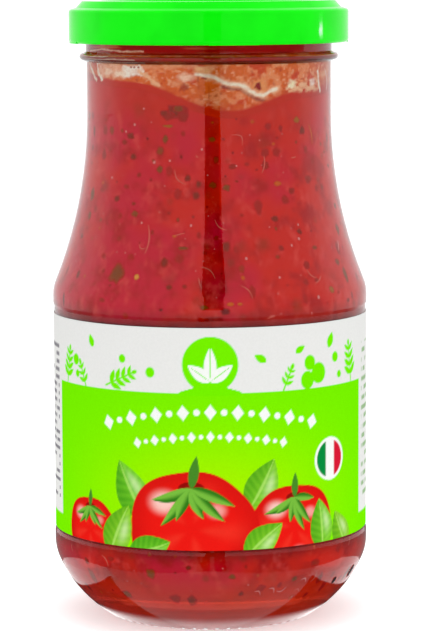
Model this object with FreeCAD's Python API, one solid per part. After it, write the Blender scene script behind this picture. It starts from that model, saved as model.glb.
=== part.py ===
"""A glass jar of tomato sauce with a twist-off lid and a paper label.

Millimetres, +Z up. The origin is on the axis, in the plane that the jar stands on, and the
middle of the label's front faces -Y. Four pieces: glass_jar, sauce, label and lid.
"""
import FreeCAD, Part
import math
import os

from FreeCAD import Vector

# Overall sizes of the glass
jar_height = 147.45
body_dia = 75.6
neck_dia = 58.4

# Glass thickness
wall = 2.4
neck_wall = 2.9
floor_thickness = 4.2

# Base: a flat bearing ring round a push-up, with short grooves across the ring's outer edge
ring_width = 1.5
push_up = 3.0
push_up_flank = 2.4
dome_rise = 1.5
dome_flat_dia = 6.0
knurl_count = 58
knurl_width = 1.2
knurl_depth = 0.35
knurl_length = 2.6
knurl_start = 0.3
knurl_tilt = 14.0

# Heel: three tangent arcs from the bearing ring up to the body, as radius and turn in degrees
heel_foot_radius, heel_foot_turn = 2.6, 31.8
heel_main_radius, heel_main_turn = 29.8, 34.8
heel_top_radius, heel_top_turn = 11.0, 23.4
inner_heel_radius = 15.0

# Body: a recessed label panel between two ridges
panel_recess = 0.25
panel_edge = 0.8
lower_ridge = 2.9
upper_ridge = 2.6

# Shoulder: a rounded ridge that runs into a hollow arc, up to the straight neck
shoulder_round = 9.0
inner_shoulder_round = 8.0
neck_top_depth = 25.95

# Finish: a bead under the lid, thread starts and a rounded rim, as steps out from the neck
finish_step = 0.2
bead_reach = 1.7
bead_depth = 12.95
bead_tip_radius = 0.85
bead_foot = 1.25
rim_outer_round = 0.9
rim_inner_round = 0.8
thread_starts = 4
thread_arc = 70.0
thread_pitch = 6.0
thread_reach = 2.2
thread_root_width = 2.2
thread_tip_width = 1.0
thread_root_sink = 0.3

# Sauce: its top is a tilted, lumpy surface with a hollow near the front of the neck
sauce_depth = 18.65
sauce_tilt = 1.6
hollow_depth = 6.0
hollow_angle = 8.0
hollow_reach = 0.55
lump_height = 0.55
lump_length = 26.0
surface_steps = 24

# Label: a wrapped strip of paper, lapped at the back
label_height = 51.8
label_thickness = 0.12
label_gap = 0.02
label_lower_margin = 0.5
label_upper_margin = 1.5
label_lap = 8.0

# Lid: pressed tinplate, curled inwards at the skirt's foot, with lugs that hook under the thread
sheet = 0.22
skirt_clearance = 1.58
skirt_depth = 9.75
shoulder_drop = 1.9
lid_shoulder_round = 0.8
step_rise = 0.35
band_clearance = 1.1
band_round = 0.5
band_slope = 48.0
panel_clearance = 0.3
panel_sink = 1.4
panel_slope = 50.0
button_dia = 26.0
button_rise = 0.5
button_flank = 2.0
curl_radius = 0.95
lug_width = 11.0
lug_height = 1.9
lug_gap = 1.4
lug_clearance = 0.06

# Worked out from the above
body_r = body_dia / 2
neck_r = neck_dia / 2
finish_r = neck_r + finish_step
bead_r = neck_r + bead_reach
thread_r = finish_r + thread_reach
cavity_r = body_r - wall
neck_cavity_r = neck_r - neck_wall
panel_r = body_r - panel_recess
cavity_floor = push_up + floor_thickness
panel_height = label_lower_margin + label_height + label_upper_margin
neck_bottom = jar_height - neck_top_depth
bead_z = jar_height - bead_depth
lid_r = thread_r + skirt_clearance + sheet
lid_foot = jar_height - skirt_depth


def polar(radius, degrees):
    """A vector in the radius-height half-plane, at an angle above the outward direction."""
    angle = math.radians(degrees)
    return Vector(radius * math.cos(angle), 0, radius * math.sin(angle))


class Outline:
    """A chain of lines and arcs in the half-plane, where x is the distance from the axis."""

    def __init__(self, r, z):
        self.at = Vector(r, 0, z)
        self.edges = []

    def line(self, r, z):
        end = Vector(r, 0, z)
        if end.distanceToPoint(self.at) > 1e-6:
            self.edges.append(Part.makeLine(self.at, end))
            self.at = end
        return self

    def bend(self, radius, heading, turn):
        """An arc that starts along heading, in degrees, and turns left by turn (right if negative)."""
        side = math.copysign(90, turn)
        centre = self.at + polar(radius, heading + side)
        middle = centre + polar(radius, heading - side + turn / 2)
        end = centre + polar(radius, heading - side + turn)
        self.edges.append(Part.Arc(self.at, middle, end).toShape())
        self.at = end
        return self

    def revolve(self, sweep=360.0):
        face = Part.Face(Part.Wire(self.edges))
        return face.revolve(Vector(0, 0, 0), Vector(0, 0, 1), sweep)


def bend_reach(bends, heading=0.0):
    """How far a chain of left bends reaches outwards and upwards, as (dr, dz)."""
    chain = Outline(0, 0)
    for radius, turn in bends:
        chain.bend(radius, heading, turn)
        heading += turn
    return chain.at.x, chain.at.z


heel_bends = [
    (heel_foot_radius, heel_foot_turn),
    (heel_main_radius, heel_main_turn),
    (heel_top_radius, heel_top_turn),
]
heel_reach, heel_height = bend_reach(heel_bends)
ring_r = body_r - heel_reach
panel_bottom = heel_height + lower_ridge
panel_top = panel_bottom + panel_height
shoulder_z = panel_top + upper_ridge
label_bottom = panel_bottom + label_lower_margin


def shoulder(outline, low_r, high_r, low_z, high_z, rounding):
    """Turn in from a vertical wall and back to a vertical neck, by two tangent arcs."""
    inset = low_r - high_r
    rise = high_z - low_z
    hollow = (rise ** 2 + (rounding - inset) ** 2 - rounding ** 2) / (2 * inset)
    turn = math.degrees(math.atan2(rise, hollow + rounding - inset))
    outline.line(low_r, low_z)
    outline.bend(rounding, 90, turn)
    outline.bend(hollow, 90 + turn, -turn)
    return outline


def outer_wall(outline):
    """The outside of the glass, from the bearing ring up to the rim."""
    heading = 0.0
    for radius, turn in heel_bends:
        outline.bend(radius, heading, turn)
        heading += turn
    outline.line(body_r, panel_bottom - panel_edge)
    outline.line(panel_r, panel_bottom)
    outline.line(panel_r, panel_top)
    outline.line(body_r, panel_top + panel_edge)
    shoulder(outline, body_r, neck_r, shoulder_z, neck_bottom, shoulder_round)
    outline.line(neck_r, bead_z - bead_foot)
    outline.line(bead_r - bead_tip_radius, bead_z - bead_tip_radius)
    outline.bend(bead_tip_radius, 0, 180)
    outline.line(finish_r, bead_z + bead_foot)
    outline.line(finish_r, jar_height - rim_outer_round)
    outline.bend(rim_outer_round, 90, 90)


def cavity():
    """The space inside the glass, from its floor up to past the rim."""
    outline = Outline(0, cavity_floor)
    outline.line(cavity_r - inner_heel_radius, cavity_floor)
    outline.bend(inner_heel_radius, 0, 90)
    shoulder(outline, cavity_r, neck_cavity_r, shoulder_z, neck_bottom, inner_shoulder_round)
    outline.line(neck_cavity_r, jar_height - rim_inner_round)
    outline.bend(rim_inner_round, 90, -90)
    outline.line(0, jar_height)
    outline.line(0, cavity_floor)
    return outline.revolve()


def ring_knurls():
    """Rods that cut a short groove across the bearing ring's outer edge, all round it."""
    rod_radius = (knurl_width ** 2 / 4 + knurl_depth ** 2) / (2 * knurl_depth)
    along = polar(1, knurl_tilt)
    across = polar(1, knurl_tilt - 90)
    start = Vector(ring_r + knurl_start, 0, 0) + across * (rod_radius - knurl_depth)
    rods = []
    for index in range(knurl_count):
        rod = Part.makeCylinder(rod_radius, knurl_length, start, along)
        rod.rotate(Vector(0, 0, 0), Vector(0, 0, 1), index * 360 / knurl_count)
        rods.append(rod)
    return Part.makeCompound(rods)


def thread_start(angle):
    """One stretch of thread, which falls to the right and carries one lug of the lid."""
    rise = thread_pitch * thread_arc / 360
    half_root = thread_root_width / 2
    half_tip = thread_tip_width / 2
    root_r = finish_r - thread_root_sink
    corners = [
        Vector(root_r, 0, -half_root),
        Vector(thread_r, 0, -half_tip),
        Vector(thread_r, 0, half_tip),
        Vector(root_r, 0, half_root),
    ]
    section = Part.makePolygon(corners + corners[:1])
    path = Part.Wire(Part.makeHelix(thread_pitch, rise, finish_r))
    thread = path.makePipeShell([section], True, True)
    lug_top = lid_foot + lug_height
    thread.translate(Vector(0, 0, lug_top + lug_clearance + half_root))
    thread.rotate(Vector(0, 0, 0), Vector(0, 0, 1), angle)
    return thread


def glass_jar():
    ring_inner_r = ring_r - ring_width
    dome_width = ring_inner_r - push_up_flank - dome_flat_dia / 2
    dome_radius = (dome_width ** 2 + dome_rise ** 2) / (2 * dome_rise)
    outline = Outline(0, push_up)
    outline.line(dome_flat_dia / 2, push_up)
    outline.bend(dome_radius, 0, -math.degrees(math.asin(dome_width / dome_radius)))
    outline.line(ring_inner_r, 0)
    outline.line(ring_r, 0)
    outer_wall(outline)
    outline.line(0, jar_height)
    outline.line(0, push_up)
    threads = [thread_start(index * 360 / thread_starts) for index in range(thread_starts)]
    jar = outline.revolve().fuse(threads)
    return jar.cut(cavity()).cut(ring_knurls())


def sauce_height(x, y):
    """The height of the sauce's top at a point of its plan."""
    hollow_x = neck_cavity_r * math.sin(math.radians(hollow_angle))
    hollow_y = -neck_cavity_r * math.cos(math.radians(hollow_angle))
    distance = math.hypot(x - hollow_x, y - hollow_y)
    hollow = hollow_depth * math.exp(-(distance / (neck_cavity_r * hollow_reach)) ** 2)
    wave = 2 * math.pi / lump_length
    lumps = lump_height * math.sin(wave * x + 1.0) * math.cos(wave * y * 0.8 + 0.5)
    tilt = -sauce_tilt * x / neck_cavity_r
    return jar_height - sauce_depth + tilt + lumps - hollow


def sauce():
    """The sauce fills the cavity up to its lumpy top."""
    reach = neck_cavity_r + wall
    step = 2 * reach / surface_steps
    places = [-reach + index * step for index in range(surface_steps + 1)]
    grid = [[Vector(x, y, sauce_height(x, y)) for y in places] for x in places]
    top = Part.BSplineSurface()
    top.interpolate(grid)
    above = top.toShape().extrude(Vector(0, 0, jar_height))
    return cavity().cut(above)


def label():
    """A paper ring on the label panel, with the strip's free end lapped over it at the back."""
    inner_r = panel_r + label_gap
    outer_r = inner_r + label_thickness
    height = Vector(0, 0, label_bottom)
    ring = Part.makeCylinder(outer_r, label_height, height)
    lap_angle = math.degrees(label_lap / outer_r)
    lap = Part.makeCylinder(outer_r + label_thickness, label_height, height, Vector(0, 0, 1), lap_angle)
    lap.rotate(Vector(0, 0, 0), Vector(0, 0, 1), 90 - lap_angle / 2)
    bore = Part.makeCylinder(inner_r, label_height, height)
    return ring.fuse(lap).cut(bore).removeSplitter()


def slope_end(start, drop, degrees):
    """Where a slope that falls outwards from start, at this angle, has dropped this far."""
    return start.x + drop / math.tan(math.radians(degrees)), start.z - drop


def lid_outside():
    """The lid's outer face, from the middle of its top round to the end of the curl."""
    top = jar_height + sheet
    panel_z = top - panel_sink
    button_r = button_dia / 2
    panel_edge_r = neck_cavity_r - panel_clearance
    band_r = finish_r + band_clearance
    shoulder_z = top - shoulder_drop
    panel_rise = panel_sink / math.tan(math.radians(panel_slope))
    outline = Outline(0, panel_z + button_rise)
    outline.line(button_r - button_flank, panel_z + button_rise)
    outline.line(button_r, panel_z)
    outline.line(panel_edge_r - panel_rise, panel_z)
    outline.line(panel_edge_r, top)
    outline.line(band_r - band_round, top)
    outline.bend(band_round, 0, -band_slope)
    outline.line(*slope_end(outline.at, outline.at.z - shoulder_z - step_rise, band_slope))
    outline.line(lid_r - lid_shoulder_round, shoulder_z)
    outline.bend(lid_shoulder_round, 0, -90)
    outline.line(lid_r, lid_foot + curl_radius)
    outline.bend(curl_radius, -90, -180)
    return outline


def lid_lug(angle):
    """One lug: a short block that reaches in from the skirt, under the low end of a thread."""
    inner_r = finish_r + lug_gap
    outer_r = lid_r - sheet / 2
    block = Outline(inner_r, lid_foot)
    block.line(outer_r, lid_foot)
    block.line(outer_r, lid_foot + lug_height)
    block.line(inner_r, lid_foot + lug_height)
    block.line(inner_r, lid_foot)
    lug = block.revolve(math.degrees(lug_width / inner_r))
    lug.rotate(Vector(0, 0, 0), Vector(0, 0, 1), angle)
    return lug


def lid():
    """The pressed lid: its sheet with the curl at its foot, and the lugs pressed in from the curl."""
    section = Part.Wire(lid_outside().edges).makeOffset2D(-sheet, fill=True, openResult=True)
    shell = section.revolve(Vector(0, 0, 0), Vector(0, 0, 1), 360)
    return shell.fuse([lid_lug(index * 360 / thread_starts) for index in range(thread_starts)])


def save(name, shape):
    """Write one piece, as one clean solid."""
    solid = shape.removeSplitter()
    if len(solid.Solids) != 1 or not solid.isValid():
        raise ValueError(f"{name} isn't one valid solid")
    solid.Solids[0].exportStep(f"parts/{name}.step")
    print(f"{name}: {solid.Volume / 1000:.1f} ml, box {solid.BoundBox}")


os.makedirs("parts", exist_ok=True)
save("glass_jar", glass_jar())
save("sauce", sauce())
save("label", label())
save("lid", lid())
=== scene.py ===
"""Looks for the jar of tomato sauce: glass, sauce with herbs, residue under the lid, label and lid."""
import math
from functools import partial

import bpy
import numpy as np
from mathutils import Matrix, Vector, bvhtree


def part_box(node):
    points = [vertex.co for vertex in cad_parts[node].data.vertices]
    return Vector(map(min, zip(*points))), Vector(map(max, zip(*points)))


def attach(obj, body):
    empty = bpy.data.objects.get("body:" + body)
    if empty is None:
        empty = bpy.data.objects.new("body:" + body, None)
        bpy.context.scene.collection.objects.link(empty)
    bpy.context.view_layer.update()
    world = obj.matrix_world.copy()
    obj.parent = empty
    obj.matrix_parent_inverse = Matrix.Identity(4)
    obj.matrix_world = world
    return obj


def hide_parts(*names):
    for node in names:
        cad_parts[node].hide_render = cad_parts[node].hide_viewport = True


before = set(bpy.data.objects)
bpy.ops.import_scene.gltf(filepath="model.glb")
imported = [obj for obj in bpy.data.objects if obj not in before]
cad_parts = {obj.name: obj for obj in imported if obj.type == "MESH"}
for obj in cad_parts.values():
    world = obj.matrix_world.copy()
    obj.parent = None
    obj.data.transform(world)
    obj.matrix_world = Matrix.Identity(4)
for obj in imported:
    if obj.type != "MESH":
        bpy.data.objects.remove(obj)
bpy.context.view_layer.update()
scene = bpy.context.scene

MM = 0.001
ROOT = "root"

# Sizes read from the frame
sauce_low, sauce_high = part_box("sauce")
label_low, label_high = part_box("label")
jar_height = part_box("glass_jar")[1].z
cavity_r = sauce_high.x
label_r = label_high.x

# How far the pieces inside the glass reach into its wall
SAUCE_BITE = 0.2 * MM
FLAKE_BITE = 0.24 * MM

rng = np.random.default_rng(7)


# ---- helpers


def srgb(red, green, blue):
    """A display colour, 0 to 255, as linear values."""
    values = np.array([red, green, blue], float) / 255
    return np.where(values <= 0.04045, values / 12.92, ((values + 0.055) / 1.055) ** 2.4)


# Light that the glass adds by reflection, and the shares of diffuse light that leave it and that go
# back to what lies behind it
VEIL = 0.026
ESCAPE = 0.36
RETURN = 0.45
# How much of a surface against the glass mirrors the tent: the sauce, and the thin film over it
WET = 0.24
FILM_WET = 0.75


def behind_glass(red, green, blue, wet=WET):
    """The surface colour that shows as this display colour in contact with the glass."""
    levels = np.linspace(0, 1, 501)
    shown = (1 - wet) * ESCAPE * levels / (1 - RETURN * levels) + wet * levels
    return np.interp(srgb(red, green, blue) - VEIL, shown, levels)


def in_film(red, green, blue):
    return behind_glass(red, green, blue, FILM_WET)


def blend(first, second, share):
    """Colours between two, one for each share."""
    return first + (second - first) * share[:, None]


def smooth(value, low, high):
    """0 below low, 1 above high, and a smooth step between; low may be the larger."""
    share = np.clip((value - low) / (high - low), 0, 1)
    return share * share * (3 - 2 * share)


def lattice_noise(x, y, seed):
    """Smooth noise from 0 to 1 over a unit lattice, by hashing its corners."""
    x0, y0 = np.floor(x), np.floor(y)
    fx, fy = x - x0, y - y0
    fx, fy = fx * fx * (3 - 2 * fx), fy * fy * (3 - 2 * fy)

    def corner(dx, dy):
        value = np.sin((x0 + dx) * 127.1 + (y0 + dy) * 311.7 + seed * 74.7) * 43758.5453
        return value - np.floor(value)

    low = corner(0, 0) * (1 - fx) + corner(1, 0) * fx
    high = corner(0, 1) * (1 - fx) + corner(1, 1) * fx
    return low * (1 - fy) + high * fy


def layered_noise(x, y, seed):
    sizes = (1.0, 0.5, 0.25)
    layers = [lattice_noise(x / size, y / size, seed + i) * size for i, size in enumerate(sizes)]
    return sum(layers) / sum(sizes)


def link(name, data):
    thing = bpy.data.objects.new(name, data)
    scene.collection.objects.link(thing)
    return thing


def new_object(name, vertices, faces, material, colours=None, flat_tail=0):
    """A mesh object, smooth apart from its last flat_tail faces, with colours for its vertices."""
    mesh = bpy.data.meshes.new(name)
    mesh.from_pydata([tuple(v) for v in vertices], [], faces)
    mesh.validate()
    if colours is not None:
        layer = mesh.color_attributes.new("paint", "FLOAT_COLOR", "POINT")
        rgba = np.ones((len(vertices), 4), np.float32)
        rgba[:, :3] = colours
        layer.data.foreach_set("color", rgba.ravel())
    rounded = len(faces) - flat_tail
    mesh.polygons.foreach_set("use_smooth", [index < rounded for index in range(len(mesh.polygons))])
    mesh.materials.append(material)
    return link(name, mesh)


def grid_faces(rows, columns, wrap=False, start=0):
    """Quads over a grid of rows x columns vertices, closed round in the columns if wrap is set."""
    faces = []
    for row in range(rows - 1):
        for column in range(columns if wrap else columns - 1):
            a = start + row * columns + column
            b = start + row * columns + (column + 1) % columns
            faces.append((a, b, b + columns, a + columns))
    return faces


def on_cylinder(radius, angle, height):
    """A point at an angle from the front (-Y), positive to the right as seen from there."""
    return np.stack([radius * np.sin(angle), -radius * np.cos(angle), height], -1)


# ---- materials


class Nodes:
    """Short calls for building one node tree."""

    def __init__(self, tree):
        self.tree = tree

    def add(self, kind, inputs=(), **settings):
        """A node with its settings, and sockets or plain values for its inputs."""
        node = self.tree.nodes.new(kind)
        for key, value in settings.items():
            setattr(node, key, value)
        for key, value in dict(inputs).items():
            self.feed(node.inputs[key], value)
        return node

    def feed(self, socket, value):
        if isinstance(value, bpy.types.NodeSocket):
            self.tree.links.new(value, socket)
        else:
            socket.default_value = value

    def place(self, scale=(1, 1, 1)):
        here = self.add("ShaderNodeTexCoord").outputs["Object"]
        return self.add("ShaderNodeMapping", {"Scale": scale, "Vector": here}).outputs[0]

    def axes(self, vector=None):
        return self.add("ShaderNodeSeparateXYZ", {0: vector or self.place()}).outputs[:]

    def ray(self, kind):
        return self.add("ShaderNodeLightPath").outputs[kind]

    def noise(self, scale, detail=2.0, roughness=0.5, vector=None):
        inputs = {"Scale": scale, "Detail": detail, "Roughness": roughness}
        inputs["Vector"] = vector or self.place()
        return self.add("ShaderNodeTexNoise", inputs).outputs["Fac"]

    def ramp(self, value, low, high, to_low=0.0, to_high=1.0):
        inputs = {"Value": value, "From Min": low, "From Max": high, "To Min": to_low, "To Max": to_high}
        return self.add("ShaderNodeMapRange", inputs, interpolation_type="SMOOTHSTEP").outputs["Result"]

    def band(self, value, low, high, soft):
        """1 where a value lies between two limits, 0 elsewhere."""
        rise = self.ramp(value, low - soft, low + soft)
        return self.times(rise, self.ramp(value, high + soft, high - soft))

    def mix(self, factor, first, second, blend="MIX"):
        inputs = {0: factor}
        for key, value in ((6, first), (7, second)):
            inputs[key] = value if isinstance(value, bpy.types.NodeSocket) else (*value, 1)
        return self.add("ShaderNodeMix", inputs, data_type="RGBA", blend_type=blend).outputs[2]

    def grey(self, value):
        inputs = dict.fromkeys(("Red", "Green", "Blue"), value)
        return self.add("ShaderNodeCombineColor", inputs).outputs[0]

    def math(self, operation, first, second=0.0):
        return self.add("ShaderNodeMath", {0: first, 1: second}, operation=operation).outputs[0]

    def plus(self, first, *others):
        for other in others:
            first = self.math("ADD", first, other)
        return first

    def times(self, first, *others):
        for other in others:
            first = self.math("MULTIPLY", first, other)
        return first

    def less(self, first, second):
        return self.math("SUBTRACT", first, second)


class Surface(Nodes):
    """The node tree of one material."""

    def __init__(self, name, colour=None, **inputs):
        self.material = bpy.data.materials.new(name)
        self.material.use_nodes = True
        super().__init__(self.material.node_tree)
        self.shader = self.tree.nodes["Principled BSDF"]
        for key, value in inputs.items():
            self.shader.inputs[key.replace("_", " ")].default_value = value
        if colour is not None:
            self.paint((*colour, 1))

    def paint(self, colour):
        self.feed(self.shader.inputs["Base Color"], colour)

    def bump(self, height, strength, distance):
        inputs = {"Strength": strength, "Distance": distance, "Height": height}
        self.feed(self.shader.inputs["Normal"], self.add("ShaderNodeBump", inputs).outputs[0])


def glass_material():
    tint = (0.93, 0.985, 0.955)
    return Surface("clear_glass", tint, Roughness=0.0, IOR=1.48, Transmission_Weight=1.0).material


def speckle(look, spacing, size, share, softness):
    """Soft blots, one in each cell of a share of the cells."""
    inputs = {"Scale": 1 / spacing, "Vector": look.place()}
    cells = look.add("ShaderNodeTexVoronoi", inputs, feature="F1")
    warp = look.ramp(look.noise(900.0), 0.0, 1.0, -0.5 * size, 0.5 * size)
    reach = look.plus(cells.outputs["Distance"], warp)
    blot = look.ramp(reach, size * (1 + softness), size * (1 - softness))
    red, green, _ = look.add("ShaderNodeSeparateColor", {0: cells.outputs["Color"]}).outputs
    return look.times(blot, look.ramp(red, 1 - share, 1 - share + 0.02), green)


def sauce_material():
    look = Surface("tomato_sauce", Roughness=0.06, Specular_IOR_Level=0.0, Metallic=WET)
    x, _, z = look.axes()
    hue = look.ramp(look.plus(look.noise(58.0), look.times(x, 3.0)), 0.4, 0.6)
    colour = look.mix(hue, behind_glass(190, 46, 58), behind_glass(198, 50, 32))
    stretched = look.place((1, 1, 0.7))
    for grain, low, high, strength, shade in (
        (look.noise(170.0, 4.0, 0.6), 0.46, 0.68, 0.9, (160, 42, 38)),
        (look.noise(300.0, 3.0, 0.6, stretched), 0.52, 0.72, 0.55, (214, 72, 68)),
        (look.noise(1500.0, 3.0, 0.6), 0.56, 0.8, 0.35, (208, 82, 64)),
    ):
        colour = look.mix(look.ramp(grain, low, high, 0.0, strength), colour, behind_glass(*shade))
    for spacing, size, share, strength in ((0.0070, 0.20, 0.45, 0.7), (0.0042, 0.17, 0.35, 0.6)):
        blot = speckle(look, spacing, size, share, 0.9)
        colour = look.mix(look.times(blot, strength), colour, behind_glass(112, 58, 42))
    # It is more orange near its top and at the heel
    ragged = look.plus(z, look.ramp(look.noise(120.0), 0, 1, -4 * MM, 4 * MM))
    colour = look.mix(look.ramp(ragged, 0.114, 0.127, 0.0, 0.75), colour, behind_glass(194, 54, 30))
    heel = look.ramp(z, sauce_low.z + 10 * MM, sauce_low.z + 2 * MM, 0.0, 0.65)
    colour = look.mix(heel, colour, behind_glass(190, 62, 44))
    # No light comes in behind the label, so the sauce is dimmer beside its edges
    below = look.ramp(z, label_low.z - 4.5 * MM, label_low.z, 0.0, 0.5)
    over = look.ramp(z, label_high.z + 4.5 * MM, label_high.z - 0.5 * MM, 0.0, 0.5)
    look.paint(look.mix(look.math("MINIMUM", below, over), colour, (0.06, 0.004, 0.002)))
    return look.material


def painted_material(name, roughness, grain, grain_strength, bump=0.0, wet=0.0):
    """A surface whose colours are painted on its vertices, with a fine grain over them."""
    look = Surface(name, Roughness=roughness, Specular_IOR_Level=0.0, Metallic=wet)
    dark = look.ramp(look.noise(grain, 3.0, 0.6), 0.3, 0.7, 1 - grain_strength, 1.0)
    painted = look.add("ShaderNodeAttribute", attribute_name="paint").outputs["Color"]
    look.paint(look.mix(1.0, painted, look.grey(dark), "MULTIPLY"))
    if bump:
        look.bump(look.noise(grain, 3.0), 0.3, bump)
    return look.material


def lid_material():
    look = Surface("lid_enamel", Roughness=0.05, IOR=1.22, Specular_IOR_Level=0.5)
    cloud = look.ramp(look.noise(90.0, 3.0), 0.35, 0.65)
    look.paint(look.mix(cloud, srgb(8, 236, 10), srgb(14, 246, 14)))
    look.bump(look.noise(1400.0), 0.02, 0.05 * MM)
    return look.material


# ---- glass and lid


for node, material in (("glass_jar", glass_material()), ("lid", lid_material())):
    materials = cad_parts[node].data.materials
    materials.clear()
    materials.append(material)


# ---- sauce


def wall_profile():
    """Height and radius of the cavity's wall, read from the frame's sauce solid."""
    points = np.array([v.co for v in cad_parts["sauce"].data.vertices])
    radius = np.hypot(points[:, 0], points[:, 1])
    steps = np.round(points[:, 2] / (0.4 * MM)).astype(int)
    widest = [np.argmax(np.where(steps == step, radius, -1)) for step in np.unique(steps)]
    heights, radii = points[widest, 2], radius[widest]
    wall = heights <= heights[-1] - 14 * MM
    return heights[wall], radii[wall]


wall_z, wall_radii = wall_profile()
neck_cavity_r = wall_radii[-1]


def wall_radius(height):
    return np.interp(height, wall_z, wall_radii)


def against_glass(angle, height):
    """A place just inside the glass's inner face and in front of the sauce's surface."""
    sink = FLAKE_BITE * max(1 - (height - sauce_low.z) / (10 * MM), 0)
    return on_cylinder(wall_radius(height) + FLAKE_BITE, angle, height - sink)


def node_tree(node):
    return bvhtree.BVHTree.FromObject(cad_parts[node], bpy.context.evaluated_depsgraph_get())


solid_tree = node_tree("sauce")


def sauce_top(x, y):
    """The height of the sauce's surface, from the frame's solid."""
    return solid_tree.ray_cast(Vector((x, y, jar_height)), Vector((0, 0, -1)))[0].z


SAUCE_COLUMNS = 288
SAUCE_ROWS = 200
TOP_RINGS = 30
FLOOR_RINGS = 14
LUMP = 2.6 * MM


def make_sauce():
    angles = np.arange(SAUCE_COLUMNS) * 2 * math.pi / SAUCE_COLUMNS
    inside = neck_cavity_r * 0.985

    def tops(radius):
        return np.array([sauce_top(radius * math.sin(a), -radius * math.cos(a)) for a in angles])

    rim = tops(inside)
    floor_z = sauce_low.z
    foot = np.full_like(angles, floor_z - SAUCE_BITE)
    rows = []
    for ring in range(FLOOR_RINGS):
        rows.append(on_cylinder(wall_radii[0] * (ring + 1) / (FLOOR_RINGS + 1), angles, foot))
    for row in range(SAUCE_ROWS):
        share = row / (SAUCE_ROWS - 1)
        height = floor_z + (rim - floor_z) * share
        sink = SAUCE_BITE * (1 - min(share * 12, 1))
        rows.append(on_cylinder(wall_radius(height) + SAUCE_BITE, angles, height - sink))
    for ring in range(TOP_RINGS):
        radius = inside * (1 - (ring + 1) / (TOP_RINGS + 1))
        lumps = layered_noise(radius * np.sin(angles) / LUMP, -radius * np.cos(angles) / LUMP, 5)
        rows.append(on_cylinder(radius, angles, tops(radius) + (lumps - 0.5) * 0.5 * MM))
    vertices = np.vstack([*rows, [0, 0, floor_z - SAUCE_BITE], [0, 0, sauce_top(0, 0)]])
    faces = grid_faces(len(rows), SAUCE_COLUMNS, wrap=True)
    foot_centre, top_centre = len(vertices) - 2, len(vertices) - 1
    last = (len(rows) - 1) * SAUCE_COLUMNS
    for column in range(SAUCE_COLUMNS):
        right = (column + 1) % SAUCE_COLUMNS
        faces.append((foot_centre, right, column))
        faces.append((top_centre, last + column, last + right))
    piece = new_object("sauce_body", vertices, faces, sauce_material())
    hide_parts("sauce")
    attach(piece, ROOT)
    return rim, angles


rim_height, rim_angles = make_sauce()


# ---- print and paint


class Print:
    """Colours laid on points at (u, v) millimetres: u round the jar from the middle of its front,
    positive to the right as seen from there, and v up."""

    def __init__(self, u, v, ground):
        self.u = u
        self.v = v
        self.colours = np.tile(ground, (len(u), 1))

    def lay(self, mask, colour):
        mask = np.clip(mask, 0, 1)[:, None]
        self.colours = self.colours * (1 - mask) + np.asarray(colour) * mask

    def local(self, u, v, degrees=0.0):
        """Coordinates along and across a direction, from a point."""
        angle = math.radians(degrees)
        du, dv = self.u - u, self.v - v
        return du * math.cos(angle) + dv * math.sin(angle), dv * math.cos(angle) - du * math.sin(angle)

    def disc(self, u, v, radius_u, radius_v=None, degrees=0.0, edge=0.12):
        along, across = self.local(u, v, degrees)
        radius_v = radius_v or radius_u
        reach = np.hypot(along / radius_u, across / radius_v)
        return smooth((reach - 1) * min(radius_u, radius_v), edge, -edge)

    def bar(self, u, v, half_u, half_v, degrees=0.0, edge=0.12, round_off=0.5):
        along, across = self.local(u, v, degrees)
        out_u = np.maximum(np.abs(along) - half_u + round_off, 0)
        out_v = np.maximum(np.abs(across) - half_v + round_off, 0)
        return smooth(np.hypot(out_u, out_v) - round_off, edge, -edge)

    def leaf_shape(self, u, v, length, width, degrees, bend=0.0):
        """A pointed oval from its stalk: its mask, and how far along and across each point lies."""
        along, across = self.local(u, v, degrees)
        share = np.clip(along / length, 0, 1)
        across = across - bend * length * share * (1 - share)
        half = width / 2 * np.sin(math.pi * share ** 0.8) ** 0.85 + 1e-6
        inside = np.minimum(along, length - along)
        reach = np.minimum(half - np.abs(across), inside)
        return smooth(reach, -0.1, 0.14), share, across / half

    def path(self, points, half, edge=0.3, stretch=1.0):
        """A band along a line through (u, v) points, with soft edges."""
        nearest = np.full(len(self.u), 1e9)
        for (u0, v0), (u1, v1) in zip(points, points[1:]):
            du, dv = (u1 - u0) / stretch, v1 - v0
            pu, pv = (self.u - u0) / stretch, self.v - v0
            share = np.clip((pu * du + pv * dv) / (du * du + dv * dv), 0, 1)
            nearest = np.minimum(nearest, np.hypot(pu - share * du, pv - share * dv))
        return smooth(nearest, half + edge, half - edge)


# ---- residue above the sauce

FILM_TOP = jar_height / MM - 1.3
FILM_R = neck_cavity_r + 0.23 * MM
FILM_INSIDE_R = FILM_R - 0.95 * MM
FRONT_DEGREES = 104
PER_DEGREE = math.radians(1) * neck_cavity_r / MM

# Places along the pale fold, as degrees round and height
FOLD = ((-6, 131), (0, 130.7), (4, 130), (7, 129.1), (11, 128.6), (16, 128.5),
        (20, 127.1), (24, 126.1), (27, 125.9), (31, 127), (34, 127.4))


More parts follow.
